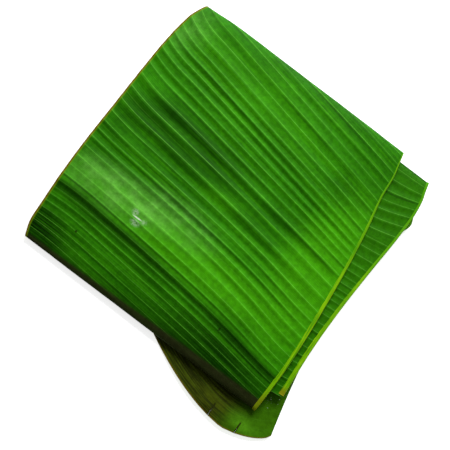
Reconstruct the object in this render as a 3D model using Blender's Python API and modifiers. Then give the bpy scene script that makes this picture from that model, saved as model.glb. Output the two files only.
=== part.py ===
"""A banana leaf, rolled flat into a four-layer packet.

The leaf is the long half blade from one side of a midrib, cut along the midrib and rolled
flat. From its rounded tip it runs under the packet, up round the top fold, over the cover,
down round the low fold, back between the layers, round the small inner fold and forward
again to its cut end. It is one sheet: a grid of veins (rows) by width (columns) that is bent
along the roll, pleated between the veins and given its thickness. It touches the surface at
three low points round its weight, with a small flat spot between them.

Metres, +Z up. The packet lies on z = 0, +X is the midrib side and +Y the top fold.
"""
import math

import bmesh
import bpy
import numpy as np

LEAF_NAME = "banana_leaf"
COLLECTION_NAME = "folded_banana_leaf"

# The sheet's thickness, thicker along the strip of midrib that the cut left on
BLADE_THICKNESS = 0.0008
RIDGE_THICKNESS = 0.0020

# Middle heights of the four layers, before the packet is raised on its low points
UNDER_Z = BLADE_THICKNESS / 2
RETURN_Z = 0.0042
INNER_Z = 0.0094
COVER_Z = 0.0152

# The folds' outer ends along Y
TOP_FOLD_Y = 0.1768
LOW_FOLD_Y = -0.1453
INNER_FOLD_Y = 0.1670

# The roll seen from its edge: control points (y, z) of a smooth curve, from the tip inwards
ROLL = [
    (-0.2000, UNDER_Z), (-0.100, UNDER_Z), (0.0, UNDER_Z), (0.080, UNDER_Z),
    (0.120, UNDER_Z), (0.150, UNDER_Z), (0.166, UNDER_Z + 0.0006), (TOP_FOLD_Y, UNDER_Z + 0.0015),
    (TOP_FOLD_Y + 0.0042, 0.0050), (TOP_FOLD_Y + 0.0034, COVER_Z - 0.0022),
    (TOP_FOLD_Y - 0.004, COVER_Z + 0.0014), (0.150, COVER_Z + 0.0012),
    (0.100, COVER_Z - 0.0002), (0.040, COVER_Z - 0.0005), (-0.020, COVER_Z + 0.0002),
    (-0.060, COVER_Z + 0.0010), (-0.085, COVER_Z + 0.0006), (-0.108, COVER_Z - 0.0018),
    (-0.126, COVER_Z - 0.0042), (LOW_FOLD_Y + 0.006, COVER_Z - 0.0062),
    (LOW_FOLD_Y - 0.0018, COVER_Z - 0.0078), (LOW_FOLD_Y - 0.0034, 0.0050),
    (LOW_FOLD_Y - 0.0008, RETURN_Z - 0.0014), (LOW_FOLD_Y + 0.012, RETURN_Z - 0.0008),
    (LOW_FOLD_Y + 0.040, RETURN_Z),
    (-0.040, RETURN_Z), (0.040, RETURN_Z), (0.110, RETURN_Z),
    (INNER_FOLD_Y - 0.022, RETURN_Z), (INNER_FOLD_Y - 0.004, RETURN_Z + 0.0001),
    (INNER_FOLD_Y + 0.0036, RETURN_Z + 0.0016), (INNER_FOLD_Y + 0.0036, INNER_Z - 0.0014),
    (INNER_FOLD_Y - 0.004, INNER_Z + 0.0004), (INNER_FOLD_Y - 0.022, INNER_Z + 0.0002),
    (0.100, INNER_Z), (0.020, INNER_Z), (-0.060, INNER_Z), (-0.1360, INNER_Z - 0.0014),
]
ROLL_STEPS = 80

# Distances along the roll that lie between its folds: on the cover and on the third layer
ON_COVER = 0.55
ON_RETURN = 0.90

# The unrolled strip: distance along it from its start, and where its two edges run across
NIB_DISTANCE = 0.0425
STRIP_END = 1.3310
STRIP_WIDTH = 0.2839
MIDRIB_EDGE = [
    (0.0425, 0.1645), (0.0835, 0.1565), (0.150, 0.146), (0.230, 0.134), (0.310, 0.122),
    (0.375, 0.1122), (0.390, 0.1118), (0.404, 0.1140), (0.420, 0.1172), (0.450, 0.1195),
    (0.485, 0.1255), (0.526, 0.1305), (0.590, 0.1355), (0.675, 0.1385), (0.718, 0.1370),
    (0.745, 0.136), (0.805, 0.138), (0.866, 0.144), (0.926, 0.151), (0.971, 0.159),
    (0.986, 0.1630), (0.996, 0.1600), (1.010, 0.1575), (1.024, 0.1558), (1.038, 0.1535),
    (1.050, 0.1552), (1.062, 0.158), (1.078, 0.1595), (1.115, 0.1585), (1.164, 0.1545),
    (1.225, 0.1505), (1.273, 0.1495), (1.3310, 0.1518),
]
MARGIN_EDGE = [
    (0.088, -0.040), (0.140, -0.095), (0.210, -0.130), (0.290, -0.148), (0.350, -0.1545),
    (0.384, -0.1535), (0.396, -0.1572), (0.410, -0.1612), (0.428, -0.1634), (0.455, -0.1644),
    (0.500, -0.1635), (0.560, -0.1612), (0.602, -0.1595), (0.645, -0.1563), (0.681, -0.1525),
    (0.704, -0.1495), (0.720, -0.1435), (0.770, -0.1440), (0.860, -0.1480), (0.950, -0.1470),
    (1.040, -0.1400), (1.100, -0.1440), (1.190, -0.1470), (1.3310, -0.1420),
]
RIDGE_START = 0.36
RIDGE_GROWTH = 0.25
RIDGE_CRUSH_REACH = 0.018

# The rounded tip: its lowest point, and how its outline rises to the nib and to the margin
TIP_LOW_X = 0.1175
TIP_LOW_DISTANCE = 0.0191
TIP_NIB_POWER = 1.5
TIP_MARGIN_POWER = 1.7
TIP_FADE_VEINS = 26

# The side veins: where each numbered vein leaves the midrib, and how it runs to the margin
VEIN_ROOTS = [
    (0, NIB_DISTANCE), (12, 0.1620), (24, 0.2840), (34, 0.3840), (39, 0.4440), (41, 0.4705),
    (43, 0.4953), (46, 0.5235), (49, 0.5523), (50, 0.5675), (52, 0.5987), (55, 0.6316),
    (58, 0.6650), (62, 0.6936), (66, 0.7220), (97, 1.0295), (101, 1.0655), (103, 1.0864),
    (106, 1.1301), (109, 1.1681), (112, 1.1942), (116, 1.2248), (119, 1.2547), (127, STRIP_END),
]
VEIN_SLOPES = [(0.0, 0.18), (0.400, 0.205), (0.480, 0.223), (0.510, 0.206), (0.552, 0.159),
               (0.583, 0.125), (0.610, 0.106), (0.650, 0.092), (0.708, 0.083), (0.720, 0.083),
               (1.040, 0.060), (1.120, 0.10), (1.330, 0.10)]
VEIN_HOOKS = [(0.0, 0.010), (0.400, 0.006), (0.480, 0.0092), (0.510, 0.0069), (0.583, 0.0040),
              (0.632, 0.0011), (0.660, -0.0004), (0.693, -0.0040), (0.720, -0.0030),
              (0.800, 0.0), (1.000, 0.0), (1.080, 0.0), (1.330, 0.0040)]
VEIN_HOOK_REACH = 0.045
VEIN_ROOT_TURNS = [(0.0, 0.0), (1.000, 0.0), (1.020, 0.0), (1.045, 0.10), (1.065, 0.45),
                   (1.110, 0.50), (1.135, 0.32), (1.160, 0.26), (1.330, 0.26)]
VEIN_ROOT_REACH = 0.090
VEIN_DROPS = [(0.0, 0.0), (0.530, 0.0), (0.557, 0.0002), (0.583, 0.0040), (0.600, 0.0060),
              (0.650, 0.0100), (0.668, 0.0082), (0.693, 0.0050), (0.715, 0.0030), (0.760, 0.0),
              (0.800, 0.0), (1.330, 0.0)]
VEIN_DROP_REACH = 0.070

# Pleats between the veins, slower swells over several of them, and the step in the cover
PLEAT_HEIGHT = 0.00050
PLEAT_VALLEY = 0.38
SWELL_HEIGHT = 0.00055
SWELL_FAST = (2.3, 2.2)
SWELL_SLOW = (0.57, -1.5)
SWELL_START = 1.0
STEP_HEIGHT = 0.0016
STEP_VEIN = 60.0
STEP_RISE_VEINS = 4.0
STEP_DROP_VEINS = 0.7

# Where the sheet is pleated: how far from a fold that starts, how fast, and how strongly
TOP_FOLD_GAP = 0.012
TOP_FOLD_EASE = 0.02
LOW_FOLD_GAP = 0.012
LOW_FOLD_EASE = 0.03
INNER_FOLD_GAP = 0.010
INNER_FOLD_EASE = 0.02
INNER_STRENGTH = 0.7

# How the packet settles where less of it lies below, in shares of its height, and where
# along X each edge's sag starts and how far it reaches
PACKET_HALF_X = 0.164
PACKET_HALF_Y = 0.180
CORNER_SAG = 0.30
MIDRIB_SAG = 0.42
MIDRIB_SAG_START = 0.060
MIDRIB_SAG_REACH = 0.080
MARGIN_SAG = 0.30
MARGIN_SAG_START = 0.095
MARGIN_SAG_REACH = 0.070

# How far the top fold's margin corner is pulled in, and how far the tip lifts
CORNER_PULL = 0.0028
CORNER_PULL_START = 0.110
CORNER_PULL_REACH = 0.050
TIP_LIFT = 0.0022
TIP_LIFT_START = 0.146
TIP_LIFT_REACH = 0.030

# What the packet rests on: three low points (x, y) and a flat spot a hair above the surface
REST_RISE = 0.0008
REST_POINTS = [(-0.075, -0.045), (0.110, -0.055), (0.000, 0.105)]
REST_POINT_REACH = 0.030
FLAT_SPOT = (0.002, 0.020)
FLAT_SPOT_RADIUS = 0.036
FLAT_SPOT_FADE = 0.024
FLAT_SPOT_GAP = 0.000003
REST_FADE = 0.030

# The grid: places across the width, and rows for each vein on pleated and folded parts
ACROSS = [0.0, 0.022, 0.075, 0.15, 0.24, 0.335, 0.43, 0.53, 0.63, 0.73, 0.83, 0.92, 1.0]
PLAIN_VEINS = 3
PLEATED_ROWS = [0.0, PLEAT_VALLEY]
FOLD_ROWS = [0.0, 0.2, PLEAT_VALLEY, 0.6, 0.8]
FOLD_MARGIN = 0.008
SLOPE_STEP = 0.0005

LEAF_COLOUR = (0.045, 0.205, 0.008, 1.0)
LEAF_ROUGHNESS = 0.42


def roll_curve():
    """The roll as a smooth curve: distances along it, its y values and its z values.

    The curve is the uniform cubic B-spline of the control points, started at the first one.
    """
    points = np.array(ROLL)
    points = np.vstack([2 * points[0] - points[1], points, 2 * points[-1] - points[-2]])
    share = np.linspace(0.0, 1.0, ROLL_STEPS, endpoint=False)[:, None]
    weights = [(1 - share) ** 3 / 6, (3 * share ** 3 - 6 * share ** 2 + 4) / 6,
               (-3 * share ** 3 + 3 * share ** 2 + 3 * share + 1) / 6, share ** 3 / 6]
    spans = [sum(weight * points[start + k] for k, weight in enumerate(weights))
             for start in range(len(points) - 3)]
    curve = np.vstack(spans)
    steps = np.hypot(*np.diff(curve, axis=0).T)
    return np.concatenate([[0.0], np.cumsum(steps)]), curve[:, 0], curve[:, 1]


def fold_distances(distances, ys):
    """Distances along the strip of the three folds' outermost points."""
    cover = np.searchsorted(distances, ON_COVER)
    back = np.searchsorted(distances, ON_RETURN)
    return (distances[np.argmax(ys[:cover])], distances[cover + np.argmin(ys[cover:back])],
            distances[back + np.argmax(ys[back:])])


def smooth_through(stations, distance):
    """A smooth curve through (distance, value) stations, read at each distance.

    Between two stations it is the cubic whose slopes are those of the neighbouring stations.
    """
    known = np.array(stations)
    slopes = np.gradient(known[:, 1], known[:, 0])
    place = np.clip(np.searchsorted(known[:, 0], distance, side="right") - 1, 0, len(known) - 2)
    gap = known[place + 1, 0] - known[place, 0]
    share = np.clip((distance - known[place, 0]) / gap, 0.0, 1.0)
    bend_in = share * (1 - share) ** 2 * gap * slopes[place]
    bend_out = -share ** 2 * (1 - share) * gap * slopes[place + 1]
    blend = share ** 2 * (3 - 2 * share)
    return known[place, 1] * (1 - blend) + known[place + 1, 1] * blend + bend_in + bend_out


def ease(value):
    """A soft step from 0 to 1 as value goes from 0 to 1."""
    value = np.clip(value, 0.0, 1.0)
    return value * value * (3 - 2 * value)


def tip_outline(across_x):
    """Distance along the strip of the rounded tip's outline, at each x.

    From its lowest point it rises to the nib as a rounded corner and to the margin as a
    power of the way there.
    """
    nib_x = MIDRIB_EDGE[0][1]
    margin_distance, margin_x = MARGIN_EDGE[0]
    right = np.clip((across_x - TIP_LOW_X) / (nib_x - TIP_LOW_X), 0.0, 1.0)
    left = np.clip((TIP_LOW_X - across_x) / (TIP_LOW_X - margin_x), 0.0, 1.0)
    to_nib = 1 - (1 - right ** TIP_NIB_POWER) ** (1 / TIP_NIB_POWER)
    return (TIP_LOW_DISTANCE + (NIB_DISTANCE - TIP_LOW_DISTANCE) * to_nib
            + (margin_distance - TIP_LOW_DISTANCE) * left ** TIP_MARGIN_POWER)


def vein_run(vein, across):
    """Distance along the strip of a vein at each share of the width, from midrib to margin.

    A vein leaves the midrib, drops or turns a little at first, slopes steadily towards the
    tip and hooks at the margin. Close to the tip the veins swing round into the tip's own
    outline.
    """
    out = across * STRIP_WIDTH
    to_margin = np.clip(1 - (STRIP_WIDTH - out) / VEIN_HOOK_REACH, 0.0, 1.0)

    def plain(begin):
        hook = smooth_through(VEIN_HOOKS, begin) * to_margin ** 2
        drop = smooth_through(VEIN_DROPS, begin) * (1 - np.exp(-(out / VEIN_DROP_REACH) ** 2))
        turn = smooth_through(VEIN_ROOT_TURNS, begin) * np.exp(-(out / VEIN_ROOT_REACH) ** 2)
        return begin + (turn - smooth_through(VEIN_SLOPES, begin)) * out - drop - hook

    tip_x = MIDRIB_EDGE[0][1] + across * (MARGIN_EDGE[0][1] - MIDRIB_EDGE[0][1])
    fade = 0.5 + 0.5 * np.cos(math.pi * np.clip(vein / TIP_FADE_VEINS, 0.0, 1.0))
    to_tip = (tip_outline(tip_x) - plain(np.full_like(out, NIB_DISTANCE))) * fade
    return plain(smooth_through(VEIN_ROOTS, vein)) + to_tip


def settle(x, y, z):
    """Places after the packet has settled: lower at the free corner and at both edges.

    The top fold is pulled in at the margin corner, and the tip lifts a little.
    """
    tip = ease((-TIP_LIFT_START - y) / TIP_LIFT_REACH) * (z < RETURN_Z / 2)
    pull = ease((-x - CORNER_PULL_START) / CORNER_PULL_REACH) * ease(y / PACKET_HALF_Y)
    y = y - CORNER_PULL * pull
    corner = ease(-0.5 * x / PACKET_HALF_X - 0.5 * y / PACKET_HALF_Y)
    z = UNDER_Z + (z - UNDER_Z) * (1 - CORNER_SAG * corner)
    midrib_side = ease((x - MIDRIB_SAG_START) / MIDRIB_SAG_REACH)
    margin_side = ease((-x - MARGIN_SAG_START) / MARGIN_SAG_REACH)
    upper = np.maximum(z - INNER_Z, 0.0)
    z = z - upper * (MIDRIB_SAG * midrib_side + MARGIN_SAG * margin_side) + TIP_LIFT * tip
    return x, y, z


def rest(x, y, z, lowest):
    """Heights after the packet is raised on its low points.

    Only the lowest layer comes back down: fully at the grid's nearest place to each low
    point, less around it, and almost fully over the flat spot.

    Args:
        x, y, z: places of the grid.
        lowest: 1 on the lowest layer, falling to 0 at its fold.
    Returns:
        The new z values.
    """
    dip = (1 - FLAT_SPOT_GAP / REST_RISE) * (
        1 - ease((np.hypot(x - FLAT_SPOT[0], y - FLAT_SPOT[1]) - FLAT_SPOT_RADIUS)
                 / FLAT_SPOT_FADE))
    for point_x, point_y in REST_POINTS:
        away = np.hypot(x - point_x, y - point_y) + (lowest < 1.0)
        nearest = np.unravel_index(np.argmin(away), away.shape)
        away = np.hypot(x - x[nearest], y - y[nearest])
        dip = np.maximum(dip, np.exp(-(away / REST_POINT_REACH) ** 2))
    return z + REST_RISE * (1 - dip * lowest)


def relief(vein, across):
    """Height of the pleats, swells and step above the plain sheet.

    Each pleat has a sharp crest on its vein and a round valley nearer the crest's low side.
    """
    share = vein - np.floor(vein)
    fall = ((PLEAT_VALLEY - share) / PLEAT_VALLEY) ** 2
    rise = ((share - PLEAT_VALLEY) / (1 - PLEAT_VALLEY)) ** 2
    pleat = 2 * np.where(share < PLEAT_VALLEY, fall, rise) - 1
    swell = (np.sin(SWELL_FAST[0] * vein + SWELL_FAST[1] * across)
             * np.sin(SWELL_SLOW[0] * vein + SWELL_SLOW[1] * across + SWELL_START))
    step = (ease((vein - STEP_VEIN) / STEP_RISE_VEINS + 1)
            * (1 - ease((vein - STEP_VEIN) / STEP_DROP_VEINS)))
    return PLEAT_HEIGHT * pleat + SWELL_HEIGHT * swell + STEP_HEIGHT * step


def relief_strength(distance, folds):
    """How strongly the sheet is pleated: full on the cover, less inside, none in folds."""
    top, low, inner = folds
    after_top = ease((distance - top - TOP_FOLD_GAP) / TOP_FOLD_EASE)
    before_low = ease((low - LOW_FOLD_GAP - distance) / LOW_FOLD_EASE)
    inside = ease((distance - inner - INNER_FOLD_GAP) / INNER_FOLD_EASE)
    return after_top * before_low + INNER_STRENGTH * inside


def row_veins(folds):
    """The vein numbers of the grid's rows, closer together where the strip is folded."""
    top, low, inner = folds
    last_vein = VEIN_ROOTS[-1][0]
    rows = []
    for vein in range(last_vein):
        root, end = vein_run(np.array([float(vein)] * 2), np.array([0.0, 1.0]))
        folded = any(end - FOLD_MARGIN < fold < root + FOLD_MARGIN for fold in folds)
        if folded:
            rows.extend(vein + share for share in FOLD_ROWS)
        elif top < root < low or root > inner:
            rows.extend(vein + share for share in PLEATED_ROWS)
        elif vein % PLAIN_VEINS == 0:
            rows.append(float(vein))
    return rows + [float(last_vein)]


def sheet_points():
    """Places of the sheet's middle surface, and the weight of the thick midrib strip.

    Returns:
        An array of points, rows by columns by 3, and an array of weights, rows by columns.
    """
    distances, ys, zs = roll_curve()
    folds = fold_distances(distances, ys)
    vein, across = np.meshgrid(row_veins(folds), ACROSS, indexing="ij")
    distance = vein_run(vein, across)
    right = smooth_through(MIDRIB_EDGE, distance)
    left = smooth_through(MARGIN_EDGE, distance)
    x = right + (left - right) * across
    before, after = distance - SLOPE_STEP, distance + SLOPE_STEP
    slope_y = np.interp(after, distances, ys) - np.interp(before, distances, ys)
    slope_z = np.interp(after, distances, zs) - np.interp(before, distances, zs)
    height = relief(vein, across) * relief_strength(distance, folds)
    height = height / np.hypot(slope_y, slope_z)
    y = np.interp(distance, distances, ys) + height * slope_z
    z = np.interp(distance, distances, zs) - height * slope_y
    x, y, z = settle(x, y, z)
    z = rest(x, y, z, ease((folds[0] - distance) / REST_FADE))
    folded = [ease(np.abs(distance - fold) / RIDGE_CRUSH_REACH) for fold in folds]
    ridge = ease((distance - RIDGE_START) / RIDGE_GROWTH) * np.prod(folded, axis=0)
    ridge = ridge * (across == 0.0)
    return np.stack([x, y, z], axis=-1), ridge


def leaf_material():
    """A waxy mid green."""
    material = bpy.data.materials.new("leaf_green")
    material.use_nodes = True
    shader = material.node_tree.nodes["Principled BSDF"]
    shader.inputs["Base Color"].default_value = LEAF_COLOUR
    shader.inputs["Roughness"].default_value = LEAF_ROUGHNESS
    shader.inputs["Metallic"].default_value = 0.0
    return material


def make_leaf(collection):
    """The leaf: a grid bent along the roll, split into triangles and given its thickness."""
    points, ridge = sheet_points()
    rows, columns = ridge.shape

    mesh = bpy.data.meshes.new(LEAF_NAME)
    grid = bmesh.new()
    bmesh.ops.create_grid(grid, x_segments=columns - 1, y_segments=rows - 1, size=0.5)
    weights = {}
    for vertex in grid.verts:
        column = round((vertex.co.x + 0.5) * (columns - 1))
        row = round((vertex.co.y + 0.5) * (rows - 1))
        vertex.co = points[row, column]
        weights[vertex.index] = float(ridge[row, column])
    grid.to_mesh(mesh)
    grid.free()

    leaf = bpy.data.objects.new(LEAF_NAME, mesh)
    collection.objects.link(leaf)
    midrib_strip = leaf.vertex_groups.new(name="midrib_strip")
    for index, weight in weights.items():
        midrib_strip.add([index], weight, "REPLACE")
    mesh.materials.append(leaf_material())
    mesh.shade_smooth()

    split = leaf.modifiers.new("split", "TRIANGULATE")
    split.quad_method = "FIXED"
    solid = leaf.modifiers.new("thickness", "SOLIDIFY")
    solid.thickness = RIDGE_THICKNESS
    solid.offset = 0.0
    solid.vertex_group = midrib_strip.name
    solid.thickness_vertex_group = BLADE_THICKNESS / RIDGE_THICKNESS
    return leaf


def main():
    """Clear the scene and build the leaf in its own collection."""
    for old in list(bpy.data.objects):
        bpy.data.objects.remove(old, do_unlink=True)
    collection = bpy.data.collections.new(COLLECTION_NAME)
    bpy.context.scene.collection.children.link(collection)
    make_leaf(collection)


main()
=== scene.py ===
"""Dresses the folded banana leaf.

The leaf is one long half blade, cut along its midrib and rolled flat into a packet of four
layers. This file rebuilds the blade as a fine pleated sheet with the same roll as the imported
solid, adds the strip of midrib along its cut edge, and sets up the floor, light and camera.
Metres throughout, +Z up, +X the midrib side, +Y the top fold.
"""
import logging
import math
from dataclasses import dataclass, field
from enum import Enum

import bpy
import numpy as np
from mathutils import Matrix, Vector


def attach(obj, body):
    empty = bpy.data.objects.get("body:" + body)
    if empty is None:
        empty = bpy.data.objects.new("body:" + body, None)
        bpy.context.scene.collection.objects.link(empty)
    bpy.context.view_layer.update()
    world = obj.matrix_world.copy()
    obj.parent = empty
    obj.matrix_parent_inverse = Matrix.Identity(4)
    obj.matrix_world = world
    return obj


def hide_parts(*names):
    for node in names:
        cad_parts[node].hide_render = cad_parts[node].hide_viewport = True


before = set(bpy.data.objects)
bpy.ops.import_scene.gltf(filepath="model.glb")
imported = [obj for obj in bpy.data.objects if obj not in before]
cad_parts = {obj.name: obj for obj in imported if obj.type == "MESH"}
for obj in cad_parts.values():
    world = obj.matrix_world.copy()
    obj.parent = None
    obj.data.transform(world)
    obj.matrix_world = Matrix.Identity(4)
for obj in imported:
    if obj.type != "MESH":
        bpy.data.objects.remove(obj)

LOG = logging.getLogger("banana_leaf")
NODE = "banana_leaf"
BODY = "root"
MM = 0.001
LEAST_LENGTH = 1e-12

Pair = tuple[float, float]
Stations = tuple[Pair, ...]
Colour = tuple[float, float, float, float]
Socket = bpy.types.NodeSocket
# What a shader input takes: another node's output, a number or a colour
Source = Socket | float | Colour
# Where a soft step starts and ends, and its values there if they aren't 0 and 1
Span = tuple[float, ...]
# A noise's scale, and its detail and roughness if they aren't the usual ones
Grain = tuple[float, ...]


class Layer(Enum):
    """The packet's layers, in the order that the strip runs through them."""

    UNDER = 0
    COVER = 1
    RETURN = 2
    INNER = 3


def ease(value: np.ndarray) -> np.ndarray:
    """A soft step: 0 below 0, 1 above 1, and 3v^2 - 2v^3 between them."""
    value = np.clip(value, 0.0, 1.0)
    return value * value * (3 - 2 * value)


def past(value: np.ndarray, zone: Pair) -> np.ndarray:
    """A soft step that starts at the zone's first number and is as long as its second."""
    start, length = zone
    return ease((value - start) / length)


def smooth_through(stations: Stations, distance: np.ndarray) -> np.ndarray:
    """Reads a smooth curve through (distance, value) stations.

    Between two stations it is the cubic whose end slopes are those of the neighbouring
    stations; outside the stations it keeps the end value.

    Args:
        stations: the known points, in order of distance.
        distance: where to read the curve.
    Returns:
        The curve's value at each distance.
    """
    known = np.array(stations)
    slopes = np.gradient(known[:, 1], known[:, 0])
    place = np.clip(np.searchsorted(known[:, 0], distance, side="right") - 1, 0, len(known) - 2)
    gap = known[place + 1, 0] - known[place, 0]
    share = np.clip((distance - known[place, 0]) / gap, 0.0, 1.0)
    bend_in = share * (1 - share) ** 2 * gap * slopes[place]
    bend_out = -share ** 2 * (1 - share) * gap * slopes[place + 1]
    blend = share ** 2 * (3 - 2 * share)
    return known[place, 1] * (1 - blend) + known[place + 1, 1] * blend + bend_in + bend_out


def unit(vectors: np.ndarray) -> np.ndarray:
    """The vectors scaled to length 1, along the last axis."""
    return vectors / np.maximum(np.linalg.norm(vectors, axis=-1, keepdims=True), LEAST_LENGTH)


@dataclass(frozen=True)
class Roll:
    """The flat roll that the strip follows, seen from its edge: heights and fold places."""

    under_z: float = 0.0004
    return_z: float = 0.0042
    inner_z: float = 0.0094
    cover_z: float = 0.0152
    top_y: float = 0.1768
    low_y: float = -0.1453
    inner_y: float = 0.1670
    steps: int = 200
    on_cover: float = 0.55
    on_return: float = 0.90

    def polygon(self) -> np.ndarray:
        """Control points (y, z) of the roll, from the tip to the cut end.

        Returns:
            The points of each stretch, one after another.
        """
        under, back, inner, cover = self.under_z, self.return_z, self.inner_z, self.cover_z
        top, low, fold = self.top_y, self.low_y, self.inner_y
        lowest_layer = [
            (-0.2000, under), (-0.100, under), (0.0, under), (0.080, under), (0.120, under),
            (0.150, under), (0.166, under + 0.0006),
        ]
        top_fold = [
            (top, under + 0.0015), (top + 0.0042, 0.0050), (top + 0.0034, cover - 0.0022),
            (top - 0.004, cover + 0.0014),
        ]
        cover_layer = [
            (0.150, cover + 0.0012), (0.100, cover - 0.0002), (0.040, cover - 0.0005),
            (-0.020, cover + 0.0002), (-0.060, cover + 0.0010),
        ]
        droop = [
            (-0.085, cover + 0.0006), (-0.108, cover - 0.0018), (-0.126, cover - 0.0042),
            (low + 0.006, cover - 0.0062),
        ]
        low_fold = [
            (low - 0.0018, cover - 0.0078), (low - 0.0034, 0.0050), (low - 0.0008, back - 0.0014),
            (low + 0.012, back - 0.0008),
        ]
        return_layer = [
            (low + 0.040, back), (-0.040, back), (0.040, back), (0.110, back),
            (fold - 0.022, back), (fold - 0.004, back + 0.0001),
        ]
        inner_fold = [
            (fold + 0.0036, back + 0.0016), (fold + 0.0036, inner - 0.0014),
            (fold - 0.004, inner + 0.0004), (fold - 0.022, inner + 0.0002),
        ]
        inner_layer = [(0.100, inner), (0.020, inner), (-0.060, inner), (-0.1360, inner - 0.0014)]
        return np.array(lowest_layer + top_fold + cover_layer + droop + low_fold + return_layer
                        + inner_fold + inner_layer)

    def curve(self) -> tuple[np.ndarray, np.ndarray, np.ndarray]:
        """The roll as the uniform cubic B-spline of its control points.

        Returns:
            Distances along the roll, its y values and its z values.
        """
        points = self.polygon()
        points = np.vstack([2 * points[0] - points[1], points, 2 * points[-1] - points[-2]])
        share = np.linspace(0.0, 1.0, self.steps, endpoint=False)[:, None]
        weights = ((1 - share) ** 3 / 6, (3 * share ** 3 - 6 * share ** 2 + 4) / 6,
                   (-3 * share ** 3 + 3 * share ** 2 + 3 * share + 1) / 6, share ** 3 / 6)
        curve = np.vstack([sum(weight * points[start + k] for k, weight in enumerate(weights))
                           for start in range(len(points) - 3)])
        lengths = np.hypot(*np.diff(curve, axis=0).T)
        return np.concatenate([[0.0], np.cumsum(lengths)]), curve[:, 0], curve[:, 1]

    def folds(self) -> tuple[float, float, float]:
        """Where the folds lie.

        Returns:
            Distances along the strip of the top, low and inner folds' outermost points.
        """
        distances, ys, _ = self.curve()
        cover = int(np.searchsorted(distances, self.on_cover))
        back = int(np.searchsorted(distances, self.on_return))
        return (float(distances[np.argmax(ys[:cover])]),
                float(distances[cover + np.argmin(ys[cover:back])]),
                float(distances[back + np.argmax(ys[back:])]))


@dataclass(frozen=True)
class Outline:
    """The unrolled strip's two edges and its rounded tip, as (distance along, x across)."""

    end: float = 1.3310
    width: float = 0.2839
    midrib: Stations = (
        (0.0425, 0.1645), (0.0835, 0.1565), (0.150, 0.146), (0.230, 0.134), (0.310, 0.122),
        (0.375, 0.1122), (0.390, 0.1118), (0.404, 0.1140), (0.420, 0.1172), (0.450, 0.1195),
        (0.485, 0.1255), (0.526, 0.1305), (0.590, 0.1355), (0.675, 0.1385), (0.718, 0.1370),
        (0.745, 0.136), (0.805, 0.138), (0.866, 0.144), (0.926, 0.151), (0.971, 0.159),
        (0.986, 0.1630), (0.996, 0.1600), (1.010, 0.1575), (1.024, 0.1558), (1.038, 0.1535),
        (1.050, 0.1552), (1.062, 0.158), (1.078, 0.1595), (1.115, 0.1585), (1.164, 0.1545),
        (1.225, 0.1505), (1.273, 0.1495), (1.3310, 0.1518),
    )
    margin: Stations = (
        (0.088, -0.040), (0.140, -0.095), (0.210, -0.130), (0.290, -0.148), (0.350, -0.1545),
        (0.384, -0.1535), (0.396, -0.1572), (0.410, -0.1612), (0.428, -0.1634),
        (0.455, -0.1644), (0.500, -0.1635), (0.560, -0.1612), (0.602, -0.1595),
        (0.645, -0.1563), (0.681, -0.1525), (0.704, -0.1495), (0.720, -0.1435),
        (0.770, -0.1440), (0.860, -0.1480), (0.950, -0.1470), (1.040, -0.1400),
        (1.100, -0.1440), (1.190, -0.1470), (1.3310, -0.1420),
    )
    tip_low_x: float = 0.1175
    tip_low: float = 0.0191
    nib_power: float = 1.5
    margin_power: float = 1.7

    def tip(self, x: np.ndarray) -> np.ndarray:
        """Distance along the strip of the tip's outline at each x.

        From its lowest point the outline rises to the nib as a rounded corner and to the
        margin as a power of the way there.

        Args:
            x: places across the strip.
        Returns:
            The distances.
        """
        nib, nib_x = self.midrib[0]
        margin, margin_x = self.margin[0]
        right = np.clip((x - self.tip_low_x) / (nib_x - self.tip_low_x), 0.0, 1.0)
        left = np.clip((self.tip_low_x - x) / (self.tip_low_x - margin_x), 0.0, 1.0)
        to_nib = 1 - (1 - right ** self.nib_power) ** (1 / self.nib_power)
        return (self.tip_low + (nib - self.tip_low) * to_nib
                + (margin - self.tip_low) * left ** self.margin_power)


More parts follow.
